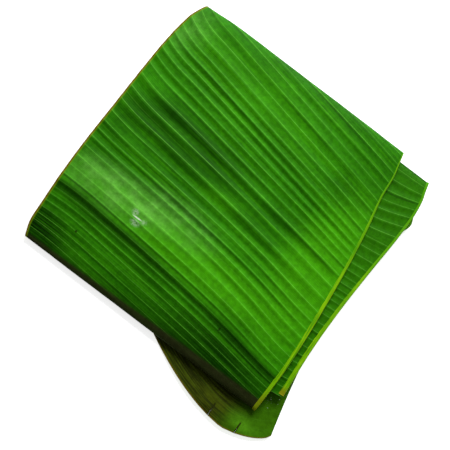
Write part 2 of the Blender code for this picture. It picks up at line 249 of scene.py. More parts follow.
@dataclass(frozen=True)
class Veins:
    """The side veins: spacing, and how each runs from the midrib to the margin."""

    roots: Stations = (
        (0, 0.0425), (12, 0.1620), (24, 0.2840), (34, 0.3840), (39, 0.4440), (41, 0.4705),
        (43, 0.4953), (46, 0.5235), (49, 0.5523), (50, 0.5675), (52, 0.5987), (55, 0.6316),
        (58, 0.6650), (62, 0.6936), (66, 0.7220), (97, 1.0295), (101, 1.0655), (103, 1.0864),
        (106, 1.1301), (109, 1.1681), (112, 1.1942), (116, 1.2248), (119, 1.2547),
        (127, 1.3310),
    )
    slopes: Stations = ((0.0, 0.18), (0.400, 0.205), (0.480, 0.223), (0.510, 0.206),
                        (0.552, 0.159), (0.583, 0.125), (0.610, 0.106), (0.650, 0.092),
                        (0.708, 0.083), (0.720, 0.083), (1.040, 0.060), (1.120, 0.10),
                        (1.330, 0.10))
    hooks: Stations = ((0.0, 0.010), (0.400, 0.006), (0.480, 0.0092), (0.510, 0.0069),
                       (0.583, 0.0040), (0.632, 0.0011), (0.660, -0.0004), (0.693, -0.0040),
                       (0.720, -0.0030), (0.800, 0.0), (1.000, 0.0), (1.080, 0.0),
                       (1.330, 0.0040))
    hook_reach: float = 0.045
    turns: Stations = ((0.0, 0.0), (1.000, 0.0), (1.020, 0.0), (1.045, 0.10), (1.065, 0.45),
                       (1.110, 0.50), (1.135, 0.32), (1.160, 0.26), (1.330, 0.26))
    turn_reach: float = 0.090
    drops: Stations = ((0.0, 0.0), (0.530, 0.0), (0.557, 0.0002), (0.583, 0.0040),
                       (0.600, 0.0060), (0.650, 0.0100), (0.668, 0.0082), (0.693, 0.0050),
                       (0.715, 0.0030), (0.760, 0.0), (0.800, 0.0), (1.330, 0.0))
    drop_reach: float = 0.070
    tip_fade: float = 26.0

    def distance(self, vein: np.ndarray) -> np.ndarray:
        """Distance along the strip at which a vein leaves the midrib."""
        return smooth_through(self.roots, vein)

    @property
    def last(self) -> int:
        """The number of the vein at the cut end."""
        return self.roots[-1][0]

    def plain_run(self, begin: np.ndarray, across: np.ndarray, outline: Outline) -> np.ndarray:
        """A vein's plain course.

        It drops or turns by the midrib as a bell curve does, falls back at a steady slope,
        and bends as a square of the way through its last stretch before the margin.

        Args:
            begin: distances along the strip at which the veins leave the midrib.
            across: shares of the width.
            outline: the strip's outline, for its width.
        Returns:
            Distances along the strip.
        """
        out = across * outline.width
        to_margin = np.clip(1 - (outline.width - out) / self.hook_reach, 0.0, 1.0)
        hook = smooth_through(self.hooks, begin) * to_margin ** 2
        turn = smooth_through(self.turns, begin) * np.exp(-(out / self.turn_reach) ** 2)
        drop = smooth_through(self.drops, begin) * (1 - np.exp(-(out / self.drop_reach) ** 2))
        return begin + (turn - smooth_through(self.slopes, begin)) * out - drop - hook

    def run(self, vein: np.ndarray, across: np.ndarray, outline: Outline) -> np.ndarray:
        """Distance along the strip of each vein at each share of the width.

        The plain course, swung round into the tip's own outline over the first veins.

        Args:
            vein: vein numbers, with parts of a vein as fractions.
            across: shares of the width, 0 at the midrib and 1 at the margin.
            outline: the strip's outline.
        Returns:
            The distances.
        """
        nib, nib_x = outline.midrib[0]
        tip_x = nib_x + across * (outline.margin[0][1] - nib_x)
        fade = 0.5 + 0.5 * np.cos(math.pi * np.clip(vein / self.tip_fade, 0.0, 1.0))
        at_nib = self.plain_run(np.full_like(across, nib), across, outline)
        plain = self.plain_run(self.distance(vein), across, outline)
        return plain + (outline.tip(tip_x) - at_nib) * fade


@dataclass(frozen=True)
class Relief:
    """Pleats between the veins, the ridge on each vein, swells, and the step in the cover."""

    pleat: float = 0.00050
    crest: float = 0.09
    valley: float = 0.50
    depths: Stations = ((34, 0.65), (41, 0.70), (44, 1.05), (55, 1.00), (58, 0.75), (62, 0.55),
                        (66, 0.50), (97, 0.80), (127, 0.80))
    least_depth: float = 0.65
    depth_spread: float = 0.75
    depth_drift: float = 0.28
    drift_rate: float = 6.0
    draw_count: int = 200
    swell: float = 0.00055
    swell_rates: tuple[Pair, Pair] = ((2.3, 2.2), (0.57, -1.5))
    swell_phase: float = 1.0
    step: float = 0.0016
    step_vein: float = 60.0
    step_rise: float = 4.0
    step_drop: float = 0.7
    ridge: float = 0.00012
    ridge_share: float = 0.05
    crinkle: float = 0.00006
    crinkle_rates: tuple[Pair, Pair] = ((5.1, 38.0), (-2.3, 23.0))
    top_gap: float = 0.012
    top_ease: float = 0.02
    low_gap: float = 0.012
    low_ease: float = 0.03
    inner_gap: float = 0.010
    inner_ease: float = 0.02
    inner_strength: float = 0.7
    plain_strength: float = 0.16
    rib_side: float = 0.010
    seed: int = 11

    @staticmethod
    def waves(rates: tuple[Pair, Pair], phase: float, vein: np.ndarray,
              across: np.ndarray) -> np.ndarray:
        """The product of two sines, each with its own rates along and across the strip.

        Args:
            rates: for each sine, its turn for each vein and for the whole width.
            phase: the second sine's head start.
            vein: vein numbers with fractions.
            across: shares of the width.
        Returns:
            Heights between -1 and 1.
        """
        (first, first_across), (second, second_across) = rates
        return (np.sin(first * vein + first_across * across)
                * np.sin(second * vein + second_across * across + phase))

    def height(self, vein: np.ndarray, across: np.ndarray) -> np.ndarray:
        """Height above the plain sheet.

        A pleat falls from its crest, just past the vein, to a valley as half a cosine wave,
        and rises as a square to the next crest. Each pleat has its own depth, which drifts
        across the blade. Swells and crinkles are products of two sines, the ridge on a vein
        is a bell curve, and the step is a slow rise with a short drop.

        Args:
            vein: vein numbers with fractions.
            across: shares of the width.
        Returns:
            The heights.
        """
        shifted = np.maximum(vein - self.crest, 0.0)
        number = np.floor(shifted).astype(int)
        share = shifted - number
        draws = np.random.default_rng(self.seed).uniform(size=(2, self.draw_count))
        drift = np.sin(self.drift_rate * across + 2 * math.pi * draws[1][number])
        depth = smooth_through(self.depths, vein) * (
            self.least_depth + self.depth_spread * draws[0][number] + self.depth_drift * drift)
        fall = 0.5 + 0.5 * np.cos(math.pi * np.clip(share / self.valley, 0.0, 1.0))
        rise = ((share - self.valley) / (1 - self.valley)) ** 2
        pleat = depth * (2 * np.where(share < self.valley, fall, rise) - 1)
        swell = self.waves(self.swell_rates, self.swell_phase, vein, across)
        step = (ease((vein - self.step_vein) / self.step_rise + 1)
                * (1 - ease((vein - self.step_vein) / self.step_drop)))
        ridge = np.exp(-((vein - np.round(vein)) / self.ridge_share) ** 2)
        crinkle = self.waves(self.crinkle_rates, 0.0, vein, across)
        return (self.pleat * pleat + self.swell * swell + self.step * step
                + self.ridge * ridge + self.crinkle * crinkle)

    def strength(self, distance: np.ndarray, out: np.ndarray,
                 folds: tuple[float, float, float]) -> np.ndarray:
        """How strongly the sheet is pleated: most on the cover, least in and under the folds.

        Args:
            distance: distances along the strip.
            out: distances across it from the midrib.
            folds: the three folds' distances along the strip.
        Returns:
            Strengths, fading to nothing beside the midrib strip.
        """
        top, low, inner = folds
        cover = (ease((distance - top - self.top_gap) / self.top_ease)
                 * ease((low - self.low_gap - distance) / self.low_ease))
        inside = ease((distance - inner - self.inner_gap) / self.inner_ease)
        pleated = cover + self.inner_strength * inside
        pleated = self.plain_strength + (1 - self.plain_strength) * pleated
        return pleated * ease(out / self.rib_side)


@dataclass(frozen=True)
class Settling:
    """How the packet settles where less of it lies below, and what it rests on."""

    half_x: float = 0.164
    half_y: float = 0.180
    corner_sag: float = 0.30
    midrib_sag: float = 0.42
    midrib_zone: Pair = (0.060, 0.080)
    margin_sag: float = 0.30
    margin_zone: Pair = (0.095, 0.070)
    corner_pull: float = 0.0028
    pull_zone: Pair = (0.110, 0.050)
    tip_lift: float = 0.0022
    tip_zone: Pair = (0.146, 0.030)
    rest_rise: float = 0.0008
    rest_points: tuple[Pair, ...] = ((-0.075, -0.045), (0.110, -0.055), (0.000, 0.105))
    rest_reach: float = 0.030
    flat_spot: Pair = (0.002, 0.020)
    flat_radius: float = 0.036
    flat_fade: float = 0.024
    rest_fade: float = 0.030

    def apply(self, places: np.ndarray, lowest: np.ndarray, roll: Roll) -> np.ndarray:
        """Moves points to where they settle.

        Heights shrink towards the free corner and, in the cover, towards both edges. The top
        fold's margin corner is pulled in and the tip lifts. Then the packet is raised, and
        its lowest layer comes back down at the low points and at the flat spot.

        Args:
            places: points, rows by columns by 3.
            lowest: 1 on the lowest layer, falling to 0 at its fold.
            roll: the roll, for its layer heights.
        Returns:
            The settled points.
        """
        x, y, z = places[..., 0], places[..., 1], places[..., 2]
        tip = past(-y, self.tip_zone) * (z < roll.return_z / 2)
        y = y - self.corner_pull * past(-x, self.pull_zone) * ease(y / self.half_y)
        corner = ease(-(x / self.half_x + y / self.half_y) / 2)
        z = roll.under_z + (z - roll.under_z) * (1 - self.corner_sag * corner)
        sag = (self.midrib_sag * past(x, self.midrib_zone)
               + self.margin_sag * past(-x, self.margin_zone))
        z = z - np.maximum(z - roll.inner_z, 0.0) * sag + self.tip_lift * tip
        from_spot = np.hypot(x - self.flat_spot[0], y - self.flat_spot[1])
        dip = 1 - ease((from_spot - self.flat_radius) / self.flat_fade)
        for point_x, point_y in self.rest_points:
            away = np.hypot(x - point_x, y - point_y)
            dip = np.maximum(dip, np.exp(-(away / self.rest_reach) ** 2))
        return np.stack([x, y, z + self.rest_rise * (1 - dip * lowest)], axis=-1)


@dataclass(frozen=True)
class Tears:
    """Short tears in from the tip's rim: place across, depth and half width at the rim."""

    cuts: tuple[tuple[float, float, float], ...] = (
        (0.155, 0.0100, 0.00012), (0.306, 0.0118, 0.00012))
    reach: float = 0.026
    grid_pull: float = 9.0

    def columns(self, across: np.ndarray, width: float) -> np.ndarray:
        """Column places for the tip: the nearest three are drawn in to each tear.

        Args:
            across: the even column places, as shares of the width.
            width: the strip's width.
        Returns:
            The drawn places, in the same order.
        """
        placed = across.copy()
        for share, _, half_width in self.cuts:
            nearest = np.sort(np.argsort(np.abs(across - share))[:3])
            placed[nearest] = share + np.array((-1.0, 0.0, 1.0)) * half_width / width
        return placed

    def open(self, distance: np.ndarray, rim: np.ndarray, across: np.ndarray,
             width: float) -> np.ndarray:
        """Draws the sheet back from the rim to open each tear as a narrow V.

        The push is the tear's depth at the rim's middle, less as a straight line to the
        tear's sides and as a square further in.

        Args:
            distance: distances along the strip.
            rim: distance along the strip of the rim at each column.
            across: shares of the width.
            width: the strip's width.
        Returns:
            The distances, with each tear open.
        """
        inward = np.clip(1 - (distance - rim) / self.reach, 0.0, 1.0) ** 2
        for share, depth, half_width in self.cuts:
            side = np.clip(1 - np.abs(across - share) * width / half_width, 0.0, 1.0)
            distance = distance + depth * side * inward
        return distance


@dataclass(frozen=True)
class LeafSurface:
    """The blade's middle surface as a function of vein number and share of the width."""

    roll: Roll = field(default_factory=Roll)
    outline: Outline = field(default_factory=Outline)
    veins: Veins = field(default_factory=Veins)
    relief: Relief = field(default_factory=Relief)
    settling: Settling = field(default_factory=Settling)
    tears: Tears = field(default_factory=Tears)
    lower: float = 0.00015
    lowest: float = 0.00026
    slope_step: float = 0.0005

    def points(self, vein: np.ndarray, across: np.ndarray) -> tuple[np.ndarray, np.ndarray]:
        """Places of the middle surface.

        The distance along the strip gives y and z on the roll and the two edges' x, between
        which across picks x. The relief is added square to the roll, and the sheet settled,
        a little lower than the solid's and never below the surface that it lies on.

        Args:
            vein: vein numbers, rows by columns.
            across: shares of the width, rows by columns.
        Returns:
            The points, rows by columns by 3, and the distances along the strip.
        """
        roll, outline, folds = self.roll, self.outline, self.roll.folds()
        distances, ys, zs = roll.curve()
        distance = self.veins.run(vein, across, outline)
        rim = self.veins.run(np.zeros_like(vein), across, outline)
        distance = self.tears.open(distance, rim, across, outline.width)
        right = smooth_through(outline.midrib, distance)
        left = smooth_through(outline.margin, distance)
        x = right + (left - right) * across
        before, after = distance - self.slope_step, distance + self.slope_step
        slope_y = np.interp(after, distances, ys) - np.interp(before, distances, ys)
        slope_z = np.interp(after, distances, zs) - np.interp(before, distances, zs)
        height = self.relief.height(vein, across) * self.relief.strength(
            distance, across * outline.width, folds) / np.hypot(slope_y, slope_z)
        y = np.interp(distance, distances, ys) + height * slope_z
        z = np.interp(distance, distances, zs) - height * slope_y
        lowest = ease((folds[0] - distance) / self.settling.rest_fade)
        places = self.settling.apply(np.stack([x, y, z], axis=-1), lowest, roll)
        places[..., 2] = np.maximum(places[..., 2] - self.lower, self.lowest)
        return places, distance


def loop_faces(rows: int, loop: int) -> np.ndarray:
    """Quads of a tube grid: rows of closed loops, each joined to the next row.

    Args:
        rows: number of loops.
        loop: number of points in each.
    Returns:
        The quads, one to a row.
    """
    row, column = np.meshgrid(np.arange(rows - 1), np.arange(loop), indexing="ij")
    after = (column + 1) % loop
    return np.stack([row * loop + column, row * loop + after,
                     (row + 1) * loop + after, (row + 1) * loop + column], -1).reshape(-1, 4)


def new_piece(name: str, points: np.ndarray, faces: list[list[int]]) -> bpy.types.Object:
    """A smooth-shaded mesh object at the origin.

    Args:
        name: the object's and the mesh's name.
        points: places, in any grid of points by 3.
        faces: each face's point numbers.
    Returns:
        The object, in the scene.
    """
    mesh = bpy.data.meshes.new(name)
    mesh.from_pydata(points.reshape(-1, 3).tolist(), [], faces)
    mesh.update()
    mesh.shade_smooth()
    piece = bpy.data.objects.new(name, mesh)
    bpy.context.scene.collection.objects.link(piece)
    return piece


def add_attribute(piece: bpy.types.Object, name: str, values: np.ndarray) -> None:
    """Stores one number for each vertex, for the piece's material to read."""
    layer = piece.data.attributes.new(name, "FLOAT", "POINT")
    layer.data.foreach_set("value", np.ascontiguousarray(values.reshape(-1), dtype=np.float32))


def place_in_frame(piece: bpy.types.Object, material: bpy.types.Material) -> None:
    """Gives a piece its material, hangs it on the body that it rides on, and hides the imported
    part that it stands in for.

    Args:
        piece: a mesh object at the origin.
        material: its only material.
    """
    piece.data.materials.append(material)
    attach(piece, BODY)
    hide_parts(NODE)


@dataclass(frozen=True)
class Nodes:
    """Short calls for building one material's node tree."""

    material: bpy.types.Material

    @classmethod
    def start(cls, name: str) -> "Nodes":
        """A new material with its shader and output only.

        Args:
            name: the material's name.
        Returns:
            The calls for its tree.
        """
        material = bpy.data.materials.new(name)
        material.use_nodes = True
        return cls(material)

    @property
    def tree(self) -> bpy.types.NodeTree:
        """The material's node tree."""
        return self.material.node_tree

    @property
    def shader(self) -> bpy.types.Node:
        """The Principled shader."""
        return self.tree.nodes["Principled BSDF"]

    def put(self, value: Source, socket: Socket) -> None:
        """Links a socket, or sets a number or colour, on an input.

        Args:
            value: what goes in.
            socket: the input.
        """
        if isinstance(value, Socket):
            self.tree.links.new(value, socket)
        else:
            socket.default_value = value

    def attribute(self, name: str) -> Socket:
        """A number stored on the mesh.

        Args:
            name: what it is stored under.
        Returns:
            The number at each place.
        """
        node = self.tree.nodes.new("ShaderNodeAttribute")
        node.attribute_name = name
        return node.outputs["Fac"]

    def place(self) -> tuple[Socket, Socket]:
        """Where a place lies on the object.

        Returns:
            Object coordinates, as a vector and as x alone.
        """
        vector = self.tree.nodes.new("ShaderNodeTexCoord").outputs["Object"]
        split = self.tree.nodes.new("ShaderNodeSeparateXYZ")
        self.put(vector, split.inputs[0])
        return vector, split.outputs[0]

    def math(self, kind: str, *values: Source) -> Socket:
        """One arithmetic step.

        Args:
            kind: Blender's name for the operation.
            values: up to three numbers or sockets.
        Returns:
            The result.
        """
        node = self.tree.nodes.new("ShaderNodeMath")
        node.operation = kind
        for value, socket in zip(values, node.inputs):
            self.put(value, socket)
        return node.outputs[0]

    def times(self, *values: Source) -> Socket:
        """The product of some values.

        Args:
            values: two or more numbers or sockets.
        Returns:
            The product.
        """
        product = values[0]
        for value in values[1:]:
            product = self.math("MULTIPLY", product, value)
        return product

    def off(self, value: Source, middle: Source) -> Socket:
        """How far a value lies from a middle, on either side."""
        return self.math("ABSOLUTE", self.math("SUBTRACT", value, middle))

    def combine(self, x: Source, y: Source, z: Source) -> Socket:
        """A vector from three numbers.

        Args:
            x: its first number.
            y: its second.
            z: its third.
        Returns:
            The vector.
        """
        node = self.tree.nodes.new("ShaderNodeCombineXYZ")
        for value, socket in zip((x, y, z), node.inputs):
            self.put(value, socket)
        return node.outputs[0]

    def ramp(self, value: Source, low: float, high: float, out_low: float = 0.0,
             out_high: float = 1.0) -> Socket:
        """A soft step as a value goes from low to high.

        Args:
            value: what is read.
            low: where the step starts, which may be above high.
            high: where it ends.
            out_low: the result at and before the start.
            out_high: the result at and past the end.
        Returns:
            The result.
        """
        node = self.tree.nodes.new("ShaderNodeMapRange")
        node.interpolation_type = "SMOOTHSTEP"
        for number, socket in zip((value, low, high, out_low, out_high), node.inputs):
            self.put(number, socket)
        return node.outputs[0]

    def noise(self, vector: Source, scale: float, detail: float = 2.0,
              roughness: float = 0.5) -> Socket:
        """Cloudy noise between 0 and 1.

        Args:
            vector: where the noise is read.
            scale: how fine it is.
            detail: how many finer layers it has.
            roughness: how strong those are.
        Returns:
            The noise.
        """
        node = self.tree.nodes.new("ShaderNodeTexNoise")
        self.put(vector, node.inputs["Vector"])
        node.inputs["Scale"].default_value = scale
        node.inputs["Detail"].default_value = detail
        node.inputs["Roughness"].default_value = roughness
        return node.outputs["Fac"]

    def mix(self, share: Source, first: Source, second: Source, blend: str = "MIX") -> Socket:
        """Mixes two colours.

        Args:
            share: how much of the second there is, 0 to 1.
            first: the colour below.
            second: the colour above.
            blend: Blender's name for the blend.
        Returns:
            The mixed colour.
        """
        node = self.tree.nodes.new("ShaderNodeMix")
        node.data_type = "RGBA"
        node.blend_type = blend
        sockets = {socket.identifier: socket for socket in node.inputs}
        self.put(share, sockets["Factor_Float"])
        self.put(first, sockets["A_Color"])
        self.put(second, sockets["B_Color"])
        return next(out for out in node.outputs if out.identifier == "Result_Color")

    def bump(self, height: Source, distance: float, strength: float) -> None:
        """Feeds a bump into the shader's normal.

        Args:
            height: the relief, 0 to 1.
            distance: its full height in metres.
            strength: how much of it shows.
        """
        node = self.tree.nodes.new("ShaderNodeBump")
        node.inputs["Strength"].default_value = strength
        node.inputs["Distance"].default_value = distance
        self.put(height, node.inputs["Height"])
        self.tree.links.new(node.outputs["Normal"], self.shader.inputs["Normal"])

    def sheen(self, specular: float, tint: Colour) -> None:
        """Sets how strongly the surface mirrors, and in which tint."""
        self.shader.inputs["Specular IOR Level"].default_value = specular
        self.shader.inputs["Specular Tint"].default_value = tint


def srgb(red: int, green: int, blue: int) -> Colour:
    """A linear colour from its display values of 0 to 255.

    Args:
        red: the red value.
        green: the green value.
        blue: the blue value.
    Returns:
        The colour, opaque.
    """
    def linear(value: float) -> float:
        """One channel, from display to linear."""
        value = value / 255
        return value / 12.92 if value <= 0.04045 else ((value + 0.055) / 1.055) ** 2.4

    return linear(red), linear(green), linear(blue), 1.0


@dataclass(frozen=True)
class LeafColours:
    """The blade's greens and browns, and the colours of its painted light, shade and sheen."""

    deep: Colour = srgb(33, 100, 3)
    fresh: Colour = srgb(46, 128, 5)
    # Both the bright streaks of the blade's own green and the colour of its painted light
    bright_and_painted_light: Colour = srgb(66, 156, 7)
    vein: Colour = srgb(112, 196, 62)
    # Painted sheen: a pale whitish green laid on where light shines off the blade
    painted_sheen: Colour = srgb(122, 192, 84)
    shadow: Colour = srgb(4, 30, 0)
    under_green: Colour = srgb(58, 108, 7)
    # Painted highlight: a lighter green by the tip where light falls on the lower side
    painted_highlight: Colour = srgb(86, 152, 22)
    olive: Colour = srgb(66, 76, 10)
    umber: Colour = srgb(38, 38, 9)
    border: Colour = srgb(104, 142, 14)
    dried: Colour = srgb(112, 94, 16)
    # Painted shade: the dark grey-brown of the low fold's outer face in shadow
    painted_fold_shade: Colour = srgb(40, 38, 20)
    fleck: Colour = srgb(206, 224, 196)
    spot: Colour = srgb(24, 34, 4)


LEAF = LeafColours()


@dataclass(frozen=True)
class BladeReads:
    """The places on the strip and the noises that the parts of the blade's finish share."""

    place: Socket
    x: Socket
    vein: Socket
    across: Socket
    distance: Socket
    along: Socket
    clouds: Socket
    streaks: Socket
    veinlet: Socket


@dataclass(frozen=True)
class Patch:
    """A soft oval patch on the unrolled blade: where it lies, how strong, how solid inside."""

    x: float
    distance: float
    reach_x: float
    reach_distance: float
    strength: float
    core: float = 0.0

    def weight(self, made: Nodes, reads: BladeReads) -> Socket:
        """The patch's strength at each place: full in its core, none past its reach.

        Args:
            made: the material's nodes.
            reads: the places on the strip.
        Returns:
            The strength.
        """
        across = made.math("DIVIDE", made.math("SUBTRACT", reads.x, self.x), self.reach_x)
        along = made.math("DIVIDE", made.math("SUBTRACT", reads.distance, self.distance),
                          self.reach_distance)
        away = made.math("SQRT", made.math("ADD", made.times(across, across),
                                           made.times(along, along)))
        return made.times(made.ramp(away, 1.0, self.core), self.strength)


@dataclass(frozen=True)
class VeinLines:
    """The veins as thin pale lines that come and go, with a fainter one halfway between two."""

    edge: float = 0.048
    core: float = 0.010
    strong_layer: float = 3.0
    strong_scale: float = 2.0
    strong_span: Span = (0.3, 0.7, 0.35, 1.0)
    halfway: float = 0.48
    faint_layer: float = 9.0
    faint_scale: float = 1.3
    faint_span: Span = (0.48, 0.68, 0.0, 0.3)

    def weight(self, made: Nodes, reads: BladeReads) -> Socket:
        """How strongly a line shows at each place.

        Args:
            made: the material's nodes.
            reads: the places on the strip.
        Returns:
            The strength, 0 to 1.
        """
        share = made.math("FRACT", reads.vein)
        near = made.math("MINIMUM", share, made.math("SUBTRACT", 1.0, share))
        strong = made.ramp(made.noise(made.combine(reads.vein, reads.across, self.strong_layer),
                                      self.strong_scale), *self.strong_span)
        faint = made.ramp(made.noise(made.combine(reads.vein, reads.across, self.faint_layer),
                                     self.faint_scale), *self.faint_span)
        middle = made.off(share, self.halfway)
        return made.math("MAXIMUM", made.times(made.ramp(near, self.edge, self.core), strong),
                         made.times(made.ramp(middle, self.edge, self.core), faint))


@dataclass(frozen=True)
class GrooveShade:
    """Painted shade in the groove just past each vein: deep beside some, faint beside most."""

    stretch: Pair = (3.7, 1.6)
    layer: float = 5.0
    grain: Grain = (1.0, 1.0)
    near_side: Span = (0.05, 0.17)
    far_side: Span = (0.42, 0.20)
    depth: Span = (0.46, 0.66, 0.04, 0.55)

    def weight(self, made: Nodes, reads: BladeReads) -> Socket:
        """How dark the painted groove shade is at each place.

        Args:
            made: the material's nodes.
            reads: the places on the strip.
        Returns:
            The strength, 0 to 1.
        """
        share = made.math("FRACT", reads.vein)
        by_vein, by_share = self.stretch
        number = made.times(made.math("FLOOR", reads.vein), by_vein)
        deep = made.noise(made.combine(number, made.times(reads.across, by_share), self.layer),
                          *self.grain)
        narrow = made.times(made.ramp(share, *self.near_side), made.ramp(share, *self.far_side))
        return made.times(narrow, made.ramp(deep, *self.depth))


@dataclass(frozen=True)
class StepShade:
    """The shade just below the cover's step, weakest in the middle of the width."""

    start: Span = (59.5, 60.0)
    end: Span = (61.8, 60.6)
    middle: float = 0.45
    tone: Span = (0.02, 0.30, 0.22, 0.58)

    def over(self, made: Nodes, reads: BladeReads, colour: Source) -> Socket:
        """Shades a colour.

        Args:
            made: the material's nodes.
            reads: the places on the strip.
            colour: the colour below.
        Returns:
            The shaded colour.
        """
        shade_band = made.times(made.ramp(reads.vein, *self.start), made.ramp(reads.vein, *self.end))
        tone = made.ramp(made.off(reads.across, self.middle), *self.tone)
        return made.mix(made.times(shade_band, tone), colour, LEAF.shadow)


@dataclass(frozen=True)
class NearFold:
    """The low fold's looks: painted shade that starts before it and lasts inside, and a band of
    painted dark brown shade.
    """

    slant: float = 0.025
    shade: Span = (0.698, 0.714)
    tone: Span = (0.735, 0.760, 0.58, 0.40)
    shade_band: Span = (0.7085, 0.7125, 0.0, 0.90)
    shade_band_end: Span = (0.760, 0.735)

    def over(self, made: Nodes, reads: BladeReads, colour: Source) -> Socket:
        """Paints shade over a colour and lays the band of painted fold shade over it.

        Args:
            made: the material's nodes.
            reads: the places on the strip.
            colour: the colour below.
        Returns:
            The changed colour.
        """
        slanted = made.math("MULTIPLY_ADD", reads.x, self.slant, reads.distance)
        shade = made.times(made.ramp(slanted, *self.shade), made.ramp(reads.distance, *self.tone))
        colour = made.mix(shade, colour, LEAF.shadow)
        # Painted shade: a dark brown band along the low fold's outer face
        shade_band = made.times(made.ramp(slanted, *self.shade_band), made.ramp(reads.distance, *self.shade_band_end))
        return made.mix(shade_band, colour, LEAF.painted_fold_shade)


@dataclass(frozen=True)
class Marks:
    """The cover's small marks: a dusty pale smear with a scratch in it, and two dark spots."""

    dust_grain: Grain = (500.0, 4.0, 0.7)
    dust: Span = (0.36, 0.62)
    smears: tuple[Patch, ...] = (
        Patch(-0.0740, 0.6320, 0.0055, 0.0045, 0.65, 0.1),
        Patch(-0.0680, 0.6415, 0.0075, 0.0050, 0.60, 0.1),
        Patch(-0.0610, 0.6360, 0.0045, 0.0045, 0.40, 0.1),
    )
    scratch: Patch = Patch(-0.0690, 0.6360, 0.0075, 0.0012, 1.0, 0.3)
    spots: tuple[Patch, Patch] = (Patch(-0.108, 0.684, 0.0016, 0.0018, 0.85, 0.4),
                                  Patch(0.062, 0.676, 0.0016, 0.0028, 0.85, 0.3))

    def over(self, made: Nodes, reads: BladeReads, colour: Source) -> Socket:
        """Lays the marks over a colour.

        Args:
            made: the material's nodes.
            reads: the places on the strip.
            colour: the colour below.
        Returns:
            The marked colour.
        """
        place = made.combine(reads.x, reads.distance, 0.0)
        dusty = made.ramp(made.noise(place, *self.dust_grain), *self.dust)
        for smear in self.smears:
            colour = made.mix(made.times(dusty, smear.weight(made, reads)), colour, LEAF.fleck)
        colour = made.mix(self.scratch.weight(made, reads), colour, LEAF.fleck)
        spots = made.math("MAXIMUM", *(spot.weight(made, reads) for spot in self.spots))
        return made.mix(spots, colour, LEAF.spot)


@dataclass(frozen=True)
class UpperSide:
    """The leaf's upper side: greens in streaks, painted sheen, painted light and shade, and pale
    veins.
    """

    clouds: Span = (0.35, 0.68)
    streaks: Span = (0.42, 0.78, 0.0, 0.6)
    veinlet_tone: float = 0.12
    sheen_grain: Grain = (55.0, 5.0, 0.7)
    sheen_breakup: Span = (0.30, 0.70, 0.20, 0.80)
    shade_breakup: Span = (0.30, 0.70, 1.15, 0.55)
    vein_tone: Span = (0.95, 1.04, 0.48, 0.90)
    groove_shade: GrooveShade = GrooveShade()
    marks: Marks = Marks()
    near_fold: NearFold = NearFold()
    step_shade: StepShade = StepShade()
    # Painted shade: dark patches where the cover lies in shade, broken up by the streaks
    painted_shade_patches: tuple[Patch, ...] = (
        Patch(-0.088, 0.537, 0.110, 0.045, 0.74, 0.2), Patch(-0.100, 0.480, 0.070, 0.030, 0.15),
        Patch(0.035, 0.487, 0.060, 0.040, 0.26), Patch(0.085, 0.470, 0.035, 0.045, 0.20),
        Patch(0.075, 0.702, 0.112, 0.034, 0.72, 0.3), Patch(-0.055, 0.655, 0.050, 0.010, 0.35),
        Patch(-0.110, 0.647, 0.050, 0.010, 0.35), Patch(-0.150, 0.706, 0.070, 0.038, 0.90, 0.3),
    )
    # Painted light: patches lifted to a brighter green where more light would fall
    painted_light_patches: tuple[Patch, ...] = (
        Patch(0.114, 0.560, 0.064, 0.135, 0.85, 0.3), Patch(-0.030, 0.634, 0.200, 0.034, 0.95, 0.2),
        Patch(-0.050, 0.445, 0.150, 0.050, 0.35), Patch(0.040, 0.640, 0.120, 0.036, 0.70),
        Patch(-0.125, 0.425, 0.055, 0.032, 0.25), Patch(-0.016, 0.566, 0.040, 0.016, 0.55),
        Patch(0.150, 1.150, 0.070, 0.180, 0.50, 0.5),
    )
    # Painted sheen: patches of pale whitish green where light shines off the blade
    painted_sheen_patches: tuple[Patch, ...] = (
        Patch(-0.106, 0.626, 0.085, 0.032, 0.70, 0.1), Patch(-0.155, 0.425, 0.040, 0.050, 0.36),
        Patch(-0.040, 0.612, 0.075, 0.032, 0.60),
    )

    def colour(self, made: Nodes, reads: BladeReads, pale: Source) -> Socket:
        """Builds the side's colour.

        Args:
            made: the material's nodes.
            reads: the places and noises on the strip.
            pale: how strongly a vein line shows at each place.
        Returns:
            The colour.
        """
        green = made.mix(made.ramp(reads.clouds, *self.clouds), LEAF.deep, LEAF.fresh)
        green = made.mix(made.ramp(reads.streaks, *self.streaks), green, LEAF.bright_and_painted_light)
        # Painted light, patch by patch
        for patch in self.painted_light_patches:
            green = made.mix(patch.weight(made, reads), green, LEAF.bright_and_painted_light)
        green = made.mix(made.times(reads.veinlet, self.veinlet_tone), green, LEAF.deep)
        place = made.combine(reads.x, reads.distance, 0.0)
        # Painted sheen, broken up by a fine noise
        sheen_breakup = made.ramp(made.noise(place, *self.sheen_grain), *self.sheen_breakup)
        for patch in self.painted_sheen_patches:
            green = made.mix(made.times(sheen_breakup, patch.weight(made, reads)), green, LEAF.painted_sheen)
        # Painted shade, patch by patch, broken up by the streaks
        shade_breakup = made.ramp(reads.streaks, *self.shade_breakup)
        for patch in self.painted_shade_patches:
            green = made.mix(made.times(shade_breakup, patch.weight(made, reads)), green, LEAF.shadow)
        # Painted shade in the groove past each vein
        green = made.mix(self.groove_shade.weight(made, reads), green, LEAF.shadow)
        tone = made.ramp(reads.distance, *self.vein_tone)
        green = made.mix(made.times(pale, tone), green, LEAF.vein)
        green = self.near_fold.over(made, reads, self.marks.over(made, reads, green))
        return self.step_shade.over(made, reads, green)


